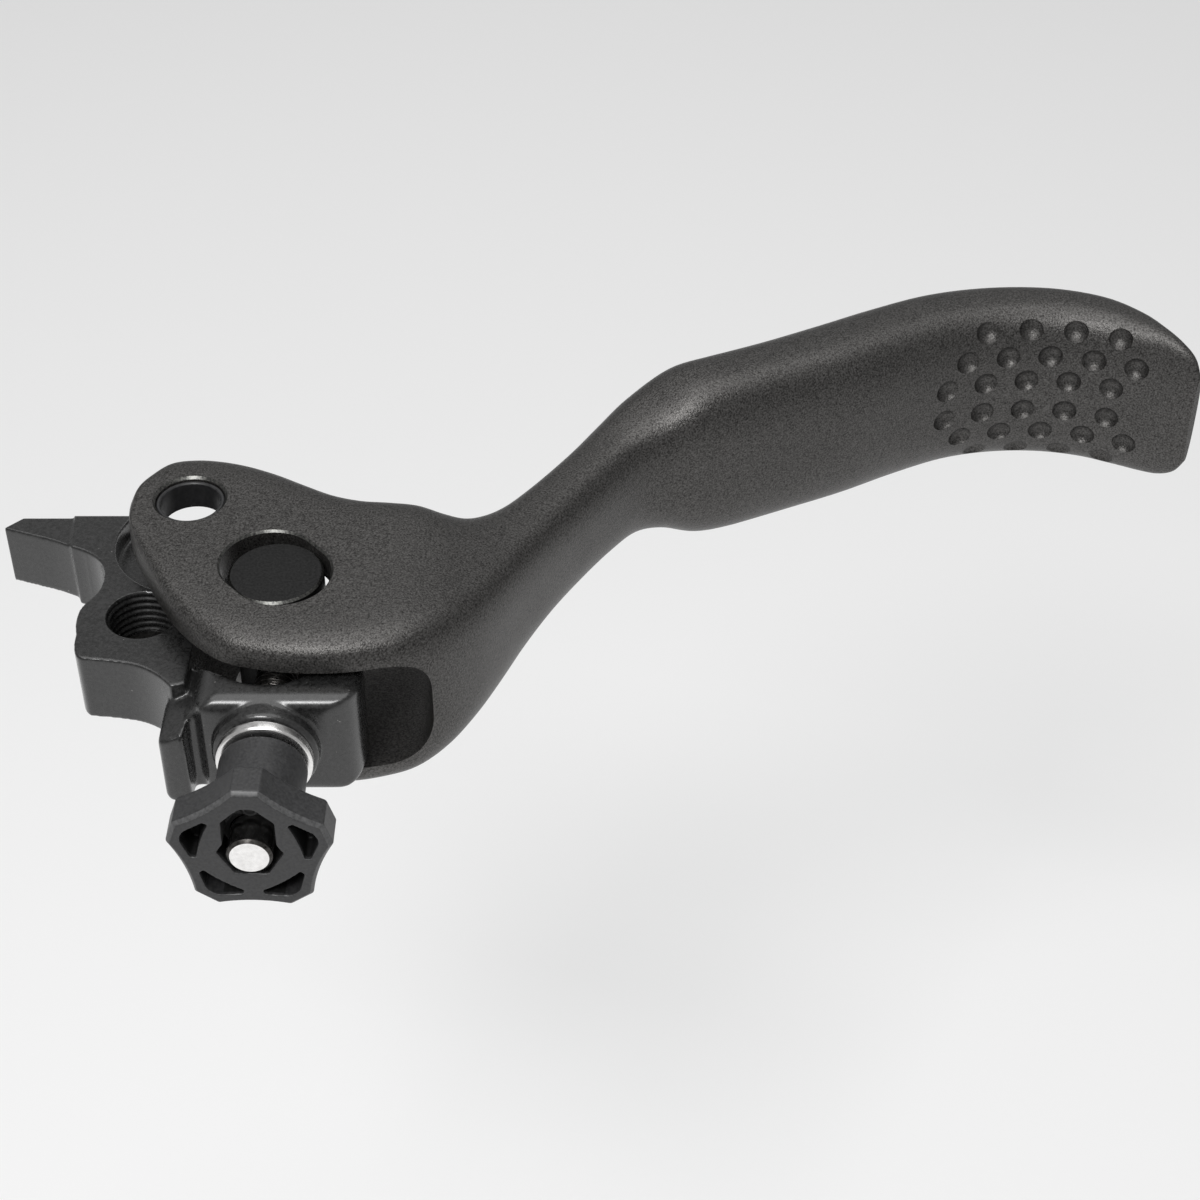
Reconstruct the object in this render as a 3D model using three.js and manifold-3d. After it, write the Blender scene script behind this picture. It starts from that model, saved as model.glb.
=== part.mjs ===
// Hydraulic hand-lever blade assembly: a two-finger blade forked around a link arm,
// with a reach adjuster (knob, threaded rod and barrel nut) that sets the angle between them.
//
// Frame, in millimetres: origin on the main pivot axis at mid-height of the fork,
// +X along the blade towards its tip, +Y away from the adjuster knob, +Z along the pivot axis.
// The assembly is symmetric about z = 0, except for the knob's lobes and the block's shoulder.

import * as THREE from 'three';
import { mergeVertices } from 'three/addons/utils/BufferGeometryUtils.js';
import Module from 'manifold-3d';

const wasm = await Module();
wasm.setup();

// ---- driving dimensions ------------------------------------------------------------------

const RUNNING_GAP = 0.08;        // radial clearance of a shaft that turns or slides in its hole
const FIT_GAP = 0.05;            // drawn between a fixed bush and its bore
const ROUND_SIDES = 32;          // sides of the larger round pieces
const THROUGH = 40;              // reach of a cutter that passes right through

const FORK_HALF = 9.0;           // outer half-height of the fork's two cheeks
const SLOT_HALF = 6.0;           // half-height of the slot between the cheeks
const SLOT_END_X = 24.0;         // where the slot ends in the root of the blade
const SLOT_CORNER = 4.5;         // corner radius of the slot's closed end

const PIVOT_HOLE_R = 3.35;       // main pivot hole through both cheeks and the link's eye
const BUSH_WALL = 0.4;           // wall of the thin pivot bushes
const BUSH_FLANGE_R = 5.0;
const BUSH_FLANGE = 0.3;
const BUSH_FACE_GAP = 0.03;      // between a bush's flange and the slot's face
const BUSH_RECESS = 0.4;         // how far a bush stops below the cheek's outer face

const ROD_X = 9.3;               // the adjuster's axis is parallel to Y at this x, at z = 0
const ROD_R = 2.0;               // M4 rod
const ROD_TAIL_Y = -2.6;
const ROD_TIP_Y = -38.9;
const ROD_TIP_CHAMFER = 0.28;

const NUT_Y = -10.4;             // barrel nut's axis at rest, in the middle of its travel
const NUT_R = 4.45;
const NUT_HALF = 8.3;
const NUT_CHAMFER = 0.35;
const NUT_SLOT_CLEARANCE = 0.15; // on each side of the nut, across the slot
const NUT_SLOT_EXTRA = 1.0;      // the slot is longer than wide by twice this, along the pivot-nut line

const LINK_PLATE_HALF = 3.65;
const LINK_ARM_HALF = 3.3;
const HOOK_BACK_Y = 4.2;         // flat back of the short push arm
const LINK_EYE_HALF = 1.5;
const LINK_EYE_R = 5.4;
const EAR_POCKET_R = 7.8;        // pockets above and below the eye for the lever body's two ears

const SCREW_HOLE = [-3.6, -11.0];
const SCREW_HOLE_R = 3.2;
const SET_SCREW_R = 3.0;
const SET_SCREW_TOP = -0.6;
const HEX_SOCKET_AF = 3.0;

const BLOCK_TOP = 5.15;
const BLOCK_FOOT = 5.85;         // how far the block reaches down, just inside the fork's slot
const BLOCK_FACE_Y = -24.9;
const COLLAR_R = 4.85;
const COLLAR_FACE_Y = -26.4;
const ROD_BUSH_R = 3.4;
const ROD_BUSH_FLANGE_R = 4.4;
const ROD_BUSH_FLANGE = 1.0;
const CLIP_R = 3.6;
const CLIP_THICKNESS = 0.6;
const CLIP_Y = -22.0;            // front face of the clip
const CLIP_MOUTH = 2.2;

const KNOB_LOBES = 5;
const KNOB_TIP_R = 7.2;          // over the flat tips of the lobes
const KNOB_VALLEY_R = 6.2;
const KNOB_FACE_Y = -38.4;
const KNOB_HEAD = 3.6;           // depth of the lobed head
const KNOB_NECK_R = 4.0;
const KNOB_SOCKET_R = 2.9;       // over the corners of the six-sided socket in the hub
const KNOB_SOCKET_DEPTH = 2.2;
const KNOB_TIP_HALF_ANGLE = 0.165; // radians, half of a lobe's flat tip
const KNOB_TOP_LOBE_DEG = 88.5;

// ---- geometry helpers --------------------------------------------------------------------

// A closed manifold solid from any closed BufferGeometry.
function solid(geometry) {
  const bare = geometry.index ? geometry.toNonIndexed() : geometry.clone();
  bare.deleteAttribute('normal');
  bare.deleteAttribute('uv');
  const merged = mergeVertices(bare, 1e-4);
  const mesh = new wasm.Mesh({
    numProp: 3,
    vertProperties: new Float32Array(merged.attributes.position.array),
    triVerts: new Uint32Array(merged.index.array),
  });
  return new wasm.Manifold(mesh);
}

// A BufferGeometry from a manifold solid.
function geometryOf(manifold) {
  const mesh = manifold.getMesh();
  const geometry = new THREE.BufferGeometry();
  geometry.setAttribute('position', new THREE.BufferAttribute(mesh.vertProperties, 3));
  geometry.setIndex(new THREE.BufferAttribute(mesh.triVerts, 1));
  geometry.computeVertexNormals();
  return geometry;
}

function cut(body, ...tools) {
  return tools.reduce((rest, tool) => rest.subtract(tool), body);
}

function join(body, ...others) {
  return others.reduce((sum, other) => sum.add(other), body);
}

// A plan outline (x, y) raised between two heights.
function prismZ(shape, low, high, curveSegments = 10) {
  const geometry = new THREE.ExtrudeGeometry(shape, {
    depth: high - low, bevelEnabled: false, curveSegments,
  });
  geometry.translate(0, 0, low);
  return solid(geometry);
}

// A front outline (x, z) pushed back from y = front to y = back.
function prismY(shape, front, back, curveSegments = 8) {
  const geometry = new THREE.ExtrudeGeometry(shape, {
    depth: back - front, bevelEnabled: false, curveSegments,
  });
  geometry.rotateX(Math.PI / 2);
  geometry.translate(0, back, 0);
  return solid(geometry);
}

// A body turned about Z from a profile of [radius, z] points that starts and ends on the axis.
function turnedZ(profile, x, y, sides = ROUND_SIDES) {
  const points = profile.map(([radius, z]) => new THREE.Vector2(radius, z));
  const geometry = new THREE.LatheGeometry(points, sides);
  geometry.rotateX(Math.PI / 2);
  geometry.translate(x, y, 0);
  return solid(geometry);
}

// A body turned about the adjuster's axis from [radius, y] points, in rising y.
function turnedOnRod(profile, sides = ROUND_SIDES) {
  const points = profile.map(([radius, y]) => new THREE.Vector2(radius, y));
  const geometry = new THREE.LatheGeometry(points, sides);
  geometry.translate(ROD_X, 0, 0);
  return solid(geometry);
}

function diskZ(radius, low, high, x = 0, y = 0, sides = ROUND_SIDES) {
  return turnedZ([[0, low], [radius, low], [radius, high], [0, high]], x, y, sides);
}

function diskOnRod(radius, front, back, sides = ROUND_SIDES) {
  return turnedOnRod([[0, front], [radius, front], [radius, back], [0, back]], sides);
}

function box(xs, ys, zs) {
  const geometry = new THREE.BoxGeometry(xs[1] - xs[0], ys[1] - ys[0], zs[1] - zs[0]);
  geometry.translate((xs[0] + xs[1]) / 2, (ys[0] + ys[1]) / 2, (zs[0] + zs[1]) / 2);
  return solid(geometry);
}

// An outline through listed points: [x, y] is a straight run to that point,
// [x, y, cx, cy] is a smooth curve to it with (cx, cy) as its corner.
function outline(points) {
  const shape = new THREE.Shape();
  points.forEach(([x, y, cx, cy], index) => {
    if (index === 0) shape.moveTo(x, y);
    else if (cx === undefined) shape.lineTo(x, y);
    else shape.quadraticCurveTo(cx, cy, x, y);
  });
  shape.closePath();
  return shape;
}

// ---- the blade ---------------------------------------------------------------------------

// Stations along the lever, from the rounded end of the fork to the tip. Each gives the front
// and back edge in plan, the half-height there, and how square the rounded section is.
const BLADE_STATIONS = [
  { front: [-5.7, -1.6], back: [-5.7, 0.4], half: 8.5, square: 6 },
  { front: [-5.4, -3.6], back: [-5.2, 2.6], half: 9.0, square: 9 },
  { front: [-4.6, -6.0], back: [-4.2, 4.9], half: 9.0, square: 9 },
  { front: [-3.3, -8.8], back: [-2.6, 7.0], half: 9.0, square: 9 },
  { front: [-1.6, -12.2], back: [-0.3, 7.7], half: 9.0, square: 9 },
  { front: [0.3, -15.4], back: [2.2, 7.6], half: 9.0, square: 9 },
  { front: [2.6, -18.2], back: [4.9, 6.9], half: 9.0, square: 9 },
  { front: [5.4, -20.4], back: [7.8, 5.6], half: 9.0, square: 9 },
  { front: [8.6, -21.4], back: [10.8, 3.8], half: 9.0, square: 9 },
  { front: [12.0, -21.9], back: [13.6, 2.2], half: 9.0, square: 9 },
  { front: [15.6, -21.9], back: [16.4, 1.3], half: 9.0, square: 9 },
  { front: [19.0, -21.4], back: [19.2, 1.2], half: 9.0, square: 8 },
  { front: [22.2, -20.4], back: [21.8, 1.2], half: 8.8, square: 7 },
  { front: [25.2, -18.2], back: [24.2, 1.0], half: 8.2, square: 5.5 },
  { front: [27.8, -14.9], back: [26.2, 1.4], half: 7.4, square: 4.5 },
  { front: [30.0, -11.0], back: [28.0, 2.7], half: 6.8, square: 3.8 },
  { front: [32.3, -6.2], back: [29.8, 4.6], half: 6.3, square: 3.4 },
  { front: [35.0, -1.0], back: [31.7, 7.2], half: 6.0, square: 3.2 },
  { front: [38.0, 3.9], back: [33.7, 10.2], half: 5.9, square: 3 },
  { front: [41.1, 8.6], back: [36.2, 14.0], half: 5.9, square: 3 },
  { front: [43.9, 12.1], back: [38.6, 17.9], half: 6.2, square: 3 },
  { front: [46.9, 13.9], back: [41.5, 21.7], half: 7.3, square: 3 },
  { front: [50.5, 15.1], back: [45.7, 24.7], half: 9.2, square: 3 },
  { front: [54.5, 16.7], back: [50.0, 26.5], half: 9.6, square: 3 },
  { front: [60.4, 19.5], back: [55.6, 29.0], half: 9.6, square: 3 },
  { front: [66.5, 22.4], back: [61.5, 32.1], half: 9.6, square: 3 },
  { front: [72.4, 25.8], back: [67.6, 35.3], half: 9.6, square: 3 },
  { front: [77.8, 28.5], back: [74.2, 38.2], half: 9.6, square: 3 },
  { front: [82.6, 29.8], back: [81.4, 39.7], half: 9.6, square: 3 },
  { front: [87.6, 30.1], back: [88.4, 39.4], half: 9.6, square: 3 },
  { front: [91.8, 29.4], back: [94.4, 37.5], half: 9.5, square: 3 },
  { front: [95.2, 28.2], back: [98.2, 34.2], half: 9.3, square: 3 },
  { front: [97.9, 27.1], back: [100.2, 31.0], half: 9.0, square: 2.8 },
  { front: [99.9, 26.0], back: [101.6, 28.7], half: 8.4, square: 2.6 },
  { front: [101.5, 25.4], back: [102.6, 27.0], half: 7.3, square: 2.4 },
  { front: [102.5, 25.1], back: [103.2, 25.7], half: 5.4, square: 2.2 },
];
const SECTION_POINTS = 32;
const STEPS_PER_STATION = 2;

// Smooth value between stations (Catmull-Rom).
function smooth(values, at) {
  const last = values.length - 1;
  const i = Math.min(Math.floor(at), last - 1);
  const t = at - i;
  const p0 = values[Math.max(i - 1, 0)];
  const p1 = values[i];
  const p2 = values[i + 1];
  const p3 = values[Math.min(i + 2, last)];
  const a = 2 * p1;
  const b = p2 - p0;
  const c = 2 * p0 - 5 * p1 + 4 * p2 - p3;
  const d = 3 * (p1 - p2) + p3 - p0;
  return (a + b * t + c * t * t + d * t * t * t) / 2;
}

// One ring of points: a rounded section between the front and back edge.
function bladeSection(at) {
  const value = (pick) => smooth(BLADE_STATIONS.map(pick), at);
  const front = new THREE.Vector2(value((s) => s.front[0]), value((s) => s.front[1]));
  const back = new THREE.Vector2(value((s) => s.back[0]), value((s) => s.back[1]));
  const power = 2 / value((s) => s.square);
  const half = value((s) => s.half) / Math.cos(Math.PI / SECTION_POINTS) ** power;
  const middle = front.clone().add(back).multiplyScalar(0.5);
  const across = front.clone().sub(middle);
  const ring = [];
  for (let k = 0; k < SECTION_POINTS; k += 1) {
    const angle = (2 * Math.PI * (k + 0.5)) / SECTION_POINTS;
    const u = Math.sign(Math.cos(angle)) * Math.abs(Math.cos(angle)) ** power;
    const w = Math.sign(Math.sin(angle)) * Math.abs(Math.sin(angle)) ** power;
    ring.push([middle.x + across.x * u, middle.y + across.y * u, half * w]);
  }
  return ring;
}

// Rings of equal size joined into one closed skin with flat ends.
function skin(rings) {
  const count = rings[0].length;
  const positions = rings.flat();
  const triangles = [];
  for (let r = 0; r + 1 < rings.length; r += 1) {
    for (let k = 0; k < count; k += 1) {
      const a = r * count + k;
      const b = r * count + ((k + 1) % count);
      triangles.push([a, b + count, b], [a, a + count, b + count]);
    }
  }
  const lastRing = (rings.length - 1) * count;
  for (let k = 1; k + 1 < count; k += 1) {
    triangles.push([0, k, k + 1], [lastRing, lastRing + k + 1, lastRing + k]);
  }
  const geometry = new THREE.BufferGeometry();
  geometry.setAttribute('position', new THREE.Float32BufferAttribute(positions.flat(), 3));
  geometry.setIndex(triangles.flat());
  return solid(geometry);
}

// A straight slot outline with round ends, centred on (x, y) and lying along angle.
function roundEndedSlot(x, y, halfWidth, extra, angle) {
  const shape = new THREE.Shape();
  const dx = Math.cos(angle) * extra;
  const dy = Math.sin(angle) * extra;
  shape.absarc(x + dx, y + dy, halfWidth, angle - Math.PI / 2, angle + Math.PI / 2, false);
  shape.absarc(x - dx, y - dy, halfWidth, angle + Math.PI / 2, angle + 1.5 * Math.PI, false);
  shape.closePath();
  return shape;
}

function leverBlade() {
  const rings = [];
  const steps = (BLADE_STATIONS.length - 1) * STEPS_PER_STATION;
  for (let step = 0; step <= steps; step += 1) {
    rings.push(bladeSection(step / STEPS_PER_STATION));
  }
  const start = SLOT_END_X - THROUGH;
  const slotOutline = outline([
    [start, -SLOT_HALF],
    [SLOT_END_X - SLOT_CORNER, -SLOT_HALF],
    [SLOT_END_X, -SLOT_HALF + SLOT_CORNER, SLOT_END_X, -SLOT_HALF],
    [SLOT_END_X, SLOT_HALF - SLOT_CORNER],
    [SLOT_END_X - SLOT_CORNER, SLOT_HALF, SLOT_END_X, SLOT_HALF],
    [start, SLOT_HALF],
  ]);
  const slot = prismY(slotOutline, -THROUGH, THROUGH, 5);
  const pivotHole = diskZ(PIVOT_HOLE_R, -THROUGH, THROUGH);
  const nutLine = Math.atan2(NUT_Y, ROD_X);
  const nutSlot = roundEndedSlot(ROD_X, NUT_Y, NUT_R + NUT_SLOT_CLEARANCE, NUT_SLOT_EXTRA, nutLine);
  return cut(skin(rings), slot, pivotHole, prismZ(nutSlot, -THROUGH, THROUGH, 12));
}

// A thin flanged bush in one cheek; side is +1 for the upper cheek and -1 for the lower.
function pivotBush(side) {
  const outer = PIVOT_HOLE_R - FIT_GAP;
  const inner = outer - BUSH_WALL;
  const top = FORK_HALF - BUSH_RECESS;
  const face = SLOT_HALF - BUSH_FACE_GAP;
  const low = face - BUSH_FLANGE;
  const body = join(diskZ(outer, low + 0.1, top), diskZ(BUSH_FLANGE_R, low, face));
  const bush = cut(body, diskZ(inner, low - 1, top + 1));
  return side > 0 ? bush : bush.mirror([0, 0, 1]);
}

// ---- the link arm ------------------------------------------------------------------------

function linkPlate() {
  const plan = outline([
    [-12.6, HOOK_BACK_Y],
    [-12.2, -0.7],
    [-8.1, -5.4, -8.2, -2.2],
    [-9.1, -9.0, -8.0, -7.6],
    [-9.4, -13.6, -10.2, -10.6],
    [-8.2, -17.2, -9.4, -17.0],
    [-4.2, -17.8, -6.0, -17.4],
    [0.4, -21.0, -1.6, -18.4],
    [1.7, -20.6],
    [1.7, -3.0],
    [-3.2, HOOK_BACK_Y],
  ]);
  return prismZ(plan, -LINK_PLATE_HALF, LINK_PLATE_HALF);
}

function linkHook() {
  const plan = outline([
    [-19.4, 2.6],
    [-15.0, 1.0],
    [-10.6, -1.5, -12.4, 0.0],
    [-9.6, HOOK_BACK_Y],
    [-17.8, HOOK_BACK_Y],
  ]);
  return prismZ(plan, -LINK_ARM_HALF, LINK_ARM_HALF);
}

// The block that carries the adjuster: its plan outline trimmed by its front outline.
function linkBlock() {
  const plan = outline([
    [1.7, -16.8],
    [-0.3, -21.0],
    [-0.3, -25.6],
    [0.7, -26.4, -0.3, -26.4],
    [2.1, -26.2],
    [2.1, -24.2],
    [3.3, -24.2],
    [3.4, BLOCK_FACE_Y],
    [14.2, BLOCK_FACE_Y],
    [17.9, -21.2, 17.9, BLOCK_FACE_Y],
    [17.9, -19.2],
    [13.8, -20.0],
    [9.3, -22.3, 11.9, -22.3],
    [4.4, -20.3, 6.6, -22.3],
  ]);
  const front = outline([
    [-0.5, 1.6],
    [2.0, 2.3],
    [5.4, BLOCK_TOP],
    [16.4, BLOCK_TOP],
    [18.1, 3.4, 18.1, BLOCK_TOP],
    [18.1, -3.0],
    [15.2, -BLOCK_FOOT, 18.1, -BLOCK_FOOT],
    [1.2, -BLOCK_FOOT],
    [-0.5, -4.4, -0.5, -BLOCK_FOOT],
  ]);
  return prismZ(plan, -THROUGH, THROUGH).intersect(prismY(front, -THROUGH, 0));
}

function linkArm() {
  const eye = diskZ(LINK_EYE_R, -LINK_EYE_HALF, LINK_EYE_HALF);
  const collar = diskOnRod(COLLAR_R, COLLAR_FACE_Y, BLOCK_FACE_Y + 1);
  const arm = join(linkPlate(), linkHook());
  const above = diskZ(EAR_POCKET_R, LINK_EYE_HALF, THROUGH);
  const below = diskZ(EAR_POCKET_R, -THROUGH, -LINK_EYE_HALF);
  const behind = box([-5.9, 4], [0.6, 8], [-THROUGH, THROUGH]);
  const window = box([-9.0, -7.6], [0.8, 8], [-LINK_EYE_HALF, LINK_EYE_HALF]);
  const pocketed = join(cut(arm, above, below, behind, window), eye, linkBlock(), collar);
  const clipSeat = diskOnRod(CLIP_R + 0.3, CLIP_Y - 0.3, -12);
  const rodHole = diskOnRod(ROD_R + RUNNING_GAP, -THROUGH, 0);
  const bushBore = diskOnRod(ROD_BUSH_R + FIT_GAP, -THROUGH, BLOCK_FACE_Y + 1.6);
  const screwHole = diskZ(SCREW_HOLE_R, -THROUGH, THROUGH, ...SCREW_HOLE);
  const pivotHole = diskZ(PIVOT_HOLE_R, -THROUGH, THROUGH);
  return cut(pocketed, clipSeat, rodHole, bushBore, screwHole, pivotHole);
}

function eyeBush() {
  const outer = PIVOT_HOLE_R - FIT_GAP;
  const half = LINK_EYE_HALF - FIT_GAP;
  return cut(diskZ(outer, -half, half), diskZ(outer - BUSH_WALL, -THROUGH, THROUGH));
}

function setScrew() {
  const [x, y] = SCREW_HOLE;
  const bottom = -LINK_PLATE_HALF + 0.2;
  const body = turnedZ([
    [0, bottom], [SET_SCREW_R - 0.8, bottom], [SET_SCREW_R, bottom + 0.8],
    [SET_SCREW_R, SET_SCREW_TOP - 0.3], [SET_SCREW_R - 0.3, SET_SCREW_TOP], [0, SET_SCREW_TOP],
  ], x, y, 24);
  const socketRadius = HEX_SOCKET_AF / Math.sqrt(3);
  return cut(body, diskZ(socketRadius, SET_SCREW_TOP - 1.6, SET_SCREW_TOP + 1, x, y, 6));
}

// ---- the reach adjuster ------------------------------------------------------------------

// Flanged steel bush that lines the collar and takes the knob's thrust.
function rodBush() {
  const front = COLLAR_FACE_Y - FIT_GAP - ROD_BUSH_FLANGE;
  const shoulder = COLLAR_FACE_Y - FIT_GAP;
  const back = BLOCK_FACE_Y + 1.5;
  const body = turnedOnRod([
    [0, front], [ROD_BUSH_FLANGE_R - 0.25, front], [ROD_BUSH_FLANGE_R, front + 0.25],
    [ROD_BUSH_FLANGE_R, shoulder], [ROD_BUSH_R, shoulder], [ROD_BUSH_R, back], [0, back],
  ]);
  const groove = diskOnRod(ROD_R + 1.0, shoulder + 0.4, shoulder + 1.4, 24);
  return cut(body, diskOnRod(ROD_R + RUNNING_GAP, -THROUGH, 0, 24), groove);
}

// Rubber ring in the bush's groove; its grip on the rod holds the knob where it is set.
function frictionRing() {
  const middle = COLLAR_FACE_Y - FIT_GAP + 0.9;
  const section = 0.4;
  const around = ROD_R + 0.1 + section;
  const profile = [];
  for (let k = 0; k <= 8; k += 1) {
    const angle = (2 * Math.PI * k) / 8;
    profile.push(new THREE.Vector2(around + section * Math.cos(angle), middle + section * Math.sin(angle)));
  }
  profile[8] = profile[0].clone();
  const geometry = new THREE.LatheGeometry(profile, 24);
  geometry.translate(ROD_X, 0, 0);
  return solid(geometry);
}

// Open ring in the rod's groove behind the block.
function retainingClip() {
  const ring = diskOnRod(CLIP_R, CLIP_Y, CLIP_Y + CLIP_THICKNESS);
  const bore = diskOnRod(ROD_R + 0.06, -THROUGH, 0, 24);
  const mouth = box([ROD_X - CLIP_MOUTH / 2, ROD_X + CLIP_MOUTH / 2], [-THROUGH, 0], [-THROUGH, 0]);
  return cut(ring, bore, mouth);
}

function adjusterRod() {
  return turnedOnRod([
    [0, ROD_TIP_Y], [ROD_R - ROD_TIP_CHAMFER, ROD_TIP_Y], [ROD_R, ROD_TIP_Y + ROD_TIP_CHAMFER],
    [ROD_R, ROD_TAIL_Y - 0.5], [ROD_R - 0.5, ROD_TAIL_Y], [0, ROD_TAIL_Y],
  ], 24);
}

function barrelNut() {
  const edge = NUT_R - NUT_CHAMFER;
  const body = turnedZ([
    [0, -NUT_HALF], [edge, -NUT_HALF], [NUT_R, -NUT_HALF + NUT_CHAMFER],
    [NUT_R, NUT_HALF - NUT_CHAMFER], [edge, NUT_HALF], [0, NUT_HALF],
  ], ROD_X, NUT_Y);
  return cut(body, diskOnRod(ROD_R + RUNNING_GAP, -THROUGH, THROUGH, 24));
}

// Lobed outline in the knob's own plane (x right, y up), with flat tips and hollow flanks.
function knobOutline(tipR, valleyR) {
  const shape = new THREE.Shape();
  const step = (2 * Math.PI) / KNOB_LOBES;
  for (let lobe = 0; lobe < KNOB_LOBES; lobe += 1) {
    const middle = lobe * step;
    const corner = tipR / Math.cos(KNOB_TIP_HALF_ANGLE);
    const at = (radius, angle) => [radius * Math.cos(angle), radius * Math.sin(angle)];
    if (lobe === 0) shape.moveTo(...at(corner, middle - KNOB_TIP_HALF_ANGLE));
    shape.lineTo(...at(corner, middle + KNOB_TIP_HALF_ANGLE));
    const control = at(2 * valleyR - corner * Math.cos(step / 2 - KNOB_TIP_HALF_ANGLE), middle + step / 2);
    shape.quadraticCurveTo(...control, ...at(corner, middle + step - KNOB_TIP_HALF_ANGLE));
  }
  return shape;
}

// Triangular pocket in one lobe, its long side following the hub.
function knobPocket() {
  return outline([
    [4.25, -2.1],
    [4.75, -2.2],
    [6.0, -0.7],
    [6.0, 0.7, 6.3, 0.0],
    [4.75, 2.2],
    [4.25, 2.1],
    [4.25, -2.1, 4.6, 0],
  ]);
}

// Arched pocket in the top lobe that opens into the socket in the hub.
function knobTopPocket() {
  return outline([
    [0.3, -2.3],
    [3.6, -2.3],
    [5.0, -0.9],
    [5.0, 0.9, 5.6, 0],
    [3.6, 2.3],
    [0.3, 2.3],
  ]);
}

function adjusterKnob() {
  const head = prismZ(knobOutline(KNOB_TIP_R, KNOB_VALLEY_R), 0, KNOB_HEAD, 5);
  const neckLength = COLLAR_FACE_Y - ROD_BUSH_FLANGE - 0.35 - (KNOB_FACE_Y + KNOB_HEAD);
  const neck = diskZ(KNOB_NECK_R, -neckLength, 0.5);
  const socket = diskZ(KNOB_SOCKET_R, KNOB_HEAD - KNOB_SOCKET_DEPTH, KNOB_HEAD + 1, 0, 0, 6);
  let knob = cut(join(head, neck), socket.rotate([0, 0, 30]));
  for (let lobe = 0; lobe < KNOB_LOBES; lobe += 1) {
    const shape = lobe === 0 ? knobTopPocket() : knobPocket();
    const pocket = prismZ(shape, KNOB_HEAD - KNOB_SOCKET_DEPTH, KNOB_HEAD + 1, 4);
    knob = knob.subtract(pocket.rotate([0, 0, (360 / KNOB_LOBES) * lobe]));
  }
  knob = knob.subtract(diskZ(ROD_R + 0.06, -THROUGH, THROUGH, 0, 0, 24));
  // The knob is drawn facing +Z; turn it to face -Y with its top lobe up.
  return knob
    .rotate([0, 0, KNOB_TOP_LOBE_DEG])
    .rotate([90, 0, 0])
    .translate([ROD_X, KNOB_FACE_Y + KNOB_HEAD, 0]);
}

// ---- finishes and the scene --------------------------------------------------------------

const FINISHES = {
  blastedBlack: { color: 0x2b2a2a, roughness: 0.62, metalness: 0.5 },
  satinBlack: { color: 0x1d1d1e, roughness: 0.38, metalness: 0.5 },
  barrelBlack: { color: 0x161616, roughness: 0.5, metalness: 0.6 },
  knobPlastic: { color: 0x242424, roughness: 0.55, metalness: 0.0 },
  brightSteel: { color: 0xd8d8d4, roughness: 0.25, metalness: 1.0 },
  blackSteel: { color: 0x1c1c1c, roughness: 0.45, metalness: 0.8 },
  bushPolymer: { color: 0x1a1a1c, roughness: 0.6, metalness: 0.0 },
  rubber: { color: 0x101010, roughness: 0.85, metalness: 0.0 },
};

function piece(name, finish, manifold) {
  const mesh = new THREE.Mesh(geometryOf(manifold), new THREE.MeshStandardMaterial(FINISHES[finish]));
  mesh.name = name;
  return mesh;
}

const lever = new THREE.Group();
lever.add(
  piece('lever_blade', 'blastedBlack', leverBlade()),
  piece('pivot_bush_upper', 'bushPolymer', pivotBush(1)),
  piece('pivot_bush_lower', 'bushPolymer', pivotBush(-1)),
  piece('link_arm', 'satinBlack', linkArm()),
  piece('eye_bush', 'bushPolymer', eyeBush()),
  piece('set_screw', 'blackSteel', setScrew()),
  piece('rod_bush', 'brightSteel', rodBush()),
  piece('friction_ring', 'rubber', frictionRing()),
  piece('retaining_clip', 'blackSteel', retainingClip()),
  piece('barrel_nut', 'barrelBlack', barrelNut()),
  piece('adjuster_rod', 'brightSteel', adjusterRod()),
  piece('adjuster_knob', 'knobPlastic', adjusterKnob()),
);

export default lever;
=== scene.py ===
"""A short two-finger hydraulic hand lever: forked blade, link arm and reach adjuster.

Lengths in the tables below are millimetres in the part's own frame (X along the blade, Y away
from the knob, Z along the pivot axis); meshes are made in metres.
"""

import math

import bpy
import bmesh
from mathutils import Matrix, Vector


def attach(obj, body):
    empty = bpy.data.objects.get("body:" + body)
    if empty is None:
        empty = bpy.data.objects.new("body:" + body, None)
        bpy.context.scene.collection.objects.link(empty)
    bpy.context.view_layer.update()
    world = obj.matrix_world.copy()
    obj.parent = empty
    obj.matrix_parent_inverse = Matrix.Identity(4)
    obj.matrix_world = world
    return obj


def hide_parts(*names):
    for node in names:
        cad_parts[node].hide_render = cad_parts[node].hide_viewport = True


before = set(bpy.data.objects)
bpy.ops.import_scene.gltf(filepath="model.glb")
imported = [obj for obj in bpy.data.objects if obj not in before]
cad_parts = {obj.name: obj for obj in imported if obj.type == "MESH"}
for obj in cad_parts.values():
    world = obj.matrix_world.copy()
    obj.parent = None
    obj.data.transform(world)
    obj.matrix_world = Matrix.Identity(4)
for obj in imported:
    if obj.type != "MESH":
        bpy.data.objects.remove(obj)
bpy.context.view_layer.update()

MM = 0.001
FAR = 40.0                       # reaches clear of any piece, for cutting tools

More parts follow.
